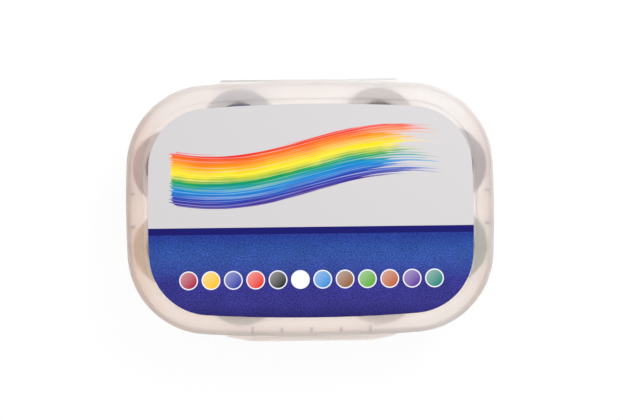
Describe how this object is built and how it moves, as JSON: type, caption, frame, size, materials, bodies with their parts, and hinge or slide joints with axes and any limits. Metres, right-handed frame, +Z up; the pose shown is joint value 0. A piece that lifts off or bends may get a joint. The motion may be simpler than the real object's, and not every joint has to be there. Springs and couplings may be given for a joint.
{
  "type": "gouache paint set box",
  "caption": "Flat frosted plastic box with bowed sides, a hinged snap lid, a printed label and round screw-capped paint jars standing inside.",
  "frame": {"origin": "middle of the tub's standing face, on the centre of the lid's outline", "axes": "+X along the box's length, -Y towards the front with the pull tab, +Z up"},
  "size_m": [0.175, 0.1253, 0.0368],
  "materials": {
    "frosted_pp": "frosted translucent polypropylene",
    "label_film": "printed film",
    "jar_plastic": "clear moulded",
    "gouache_carmine": "gouache paint",
    "cap_carmine": "moulded",
    "gouache_yellow": "gouache paint",
    "cap_yellow": "moulded",
    "gouache_ultramarine": "gouache paint",
    "cap_ultramarine": "moulded",
    "gouache_scarlet": "gouache paint",
    "cap_scarlet": "moulded",
    "gouache_black": "gouache paint",
    "cap_black": "moulded",
    "gouache_white": "gouache paint",
    "cap_white": "moulded",
    "gouache_sky_blue": "gouache paint",
    "cap_sky_blue": "moulded",
    "gouache_brown": "gouache paint",
    "cap_brown": "moulded",
    "gouache_leaf_green": "gouache paint",
    "cap_leaf_green": "moulded",
    "gouache_ochre": "gouache paint",
    "cap_ochre": "moulded",
    "gouache_violet": "gouache paint",
    "cap_violet": "moulded",
    "gouache_emerald": "gouache paint",
    "cap_emerald": "moulded"
  },
  "bodies": {
    "box": {"tub": "frosted_pp", "hinge_web": "frosted_pp", "jar_carmine": "jar_plastic", "jar_yellow": "jar_plastic", "jar_ultramarine": "jar_plastic", "jar_scarlet": "jar_plastic", "jar_black": "jar_plastic", "jar_white": "jar_plastic", "jar_sky_blue": "jar_plastic", "jar_brown": "jar_plastic", "jar_leaf_green": "jar_plastic", "jar_ochre": "jar_plastic", "jar_violet": "jar_plastic", "jar_emerald": "jar_plastic", "paint_carmine": "gouache_carmine", "paint_yellow": "gouache_yellow", "paint_ultramarine": "gouache_ultramarine", "paint_scarlet": "gouache_scarlet", "paint_black": "gouache_black", "paint_white": "gouache_white", "paint_sky_blue": "gouache_sky_blue", "paint_brown": "gouache_brown", "paint_leaf_green": "gouache_leaf_green", "paint_ochre": "gouache_ochre", "paint_violet": "gouache_violet", "paint_emerald": "gouache_emerald"},
    "lid": {"lid": "frosted_pp", "label": "label_film"},
    "cap_carmine": {"cap_carmine": "cap_carmine"},
    "cap_yellow": {"cap_yellow": "cap_yellow"},
    "cap_ultramarine": {"cap_ultramarine": "cap_ultramarine"},
    "cap_scarlet": {"cap_scarlet": "cap_scarlet"},
    "cap_black": {"cap_black": "cap_black"},
    "cap_white": {"cap_white": "cap_white"},
    "cap_sky_blue": {"cap_sky_blue": "cap_sky_blue"},
    "cap_brown": {"cap_brown": "cap_brown"},
    "cap_leaf_green": {"cap_leaf_green": "cap_leaf_green"},
    "cap_ochre": {"cap_ochre": "cap_ochre"},
    "cap_violet": {"cap_violet": "cap_violet"},
    "cap_emerald": {"cap_emerald": "cap_emerald"}
  },
  "joints": [
    {"name": "lid_hinge", "type": "hinge", "parent": "box", "child": "lid", "pos_m": [0, 0.06146, 0.02615], "axis": [-1, 0, 0], "range_deg": [0, 180], "deforming": ["hinge_web"]},
    {"name": "cap_turn_carmine", "type": "hinge", "parent": "box", "child": "cap_carmine", "pos_m": [-0.06582, 0.01995, 0.0342], "axis": [0, 0, 1], "range_deg": [0, 90]},
    {"name": "cap_turn_yellow", "type": "hinge", "parent": "box", "child": "cap_yellow", "pos_m": [-0.06582, -0.01805, 0.0342], "axis": [0, 0, 1], "range_deg": [0, 90]},
    {"name": "cap_turn_ultramarine", "type": "hinge", "parent": "box", "child": "cap_ultramarine", "pos_m": [-0.03291, 0.03895, 0.0342], "axis": [0, 0, 1], "range_deg": [0, 90]},
    {"name": "cap_turn_scarlet", "type": "hinge", "parent": "box", "child": "cap_scarlet", "pos_m": [-0.03291, 0.00095, 0.0342], "axis": [0, 0, 1], "range_deg": [0, 90]},
    {"name": "cap_turn_black", "type": "hinge", "parent": "box", "child": "cap_black", "pos_m": [-0.03291, -0.03705, 0.0342], "axis": [0, 0, 1], "range_deg": [0, 90]},
    {"name": "cap_turn_white", "type": "hinge", "parent": "box", "child": "cap_white", "pos_m": [0, 0.01995, 0.0342], "axis": [0, 0, 1], "range_deg": [0, 90]},
    {"name": "cap_turn_sky_blue", "type": "hinge", "parent": "box", "child": "cap_sky_blue", "pos_m": [0, -0.01805, 0.0342], "axis": [0, 0, 1], "range_deg": [0, 90]},
    {"name": "cap_turn_brown", "type": "hinge", "parent": "box", "child": "cap_brown", "pos_m": [0.03291, 0.03895, 0.0342], "axis": [0, 0, 1], "range_deg": [0, 90]},
    {"name": "cap_turn_leaf_green", "type": "hinge", "parent": "box", "child": "cap_leaf_green", "pos_m": [0.03291, 0.00095, 0.0342], "axis": [0, 0, 1], "range_deg": [0, 90]},
    {"name": "cap_turn_ochre", "type": "hinge", "parent": "box", "child": "cap_ochre", "pos_m": [0.03291, -0.03705, 0.0342], "axis": [0, 0, 1], "range_deg": [0, 90]},
    {"name": "cap_turn_violet", "type": "hinge", "parent": "box", "child": "cap_violet", "pos_m": [0.06582, 0.01995, 0.0342], "axis": [0, 0, 1], "range_deg": [0, 90]},
    {"name": "cap_turn_emerald", "type": "hinge", "parent": "box", "child": "cap_emerald", "pos_m": [0.06582, -0.01805, 0.0342], "axis": [0, 0, 1], "range_deg": [0, 90]}
  ]
}
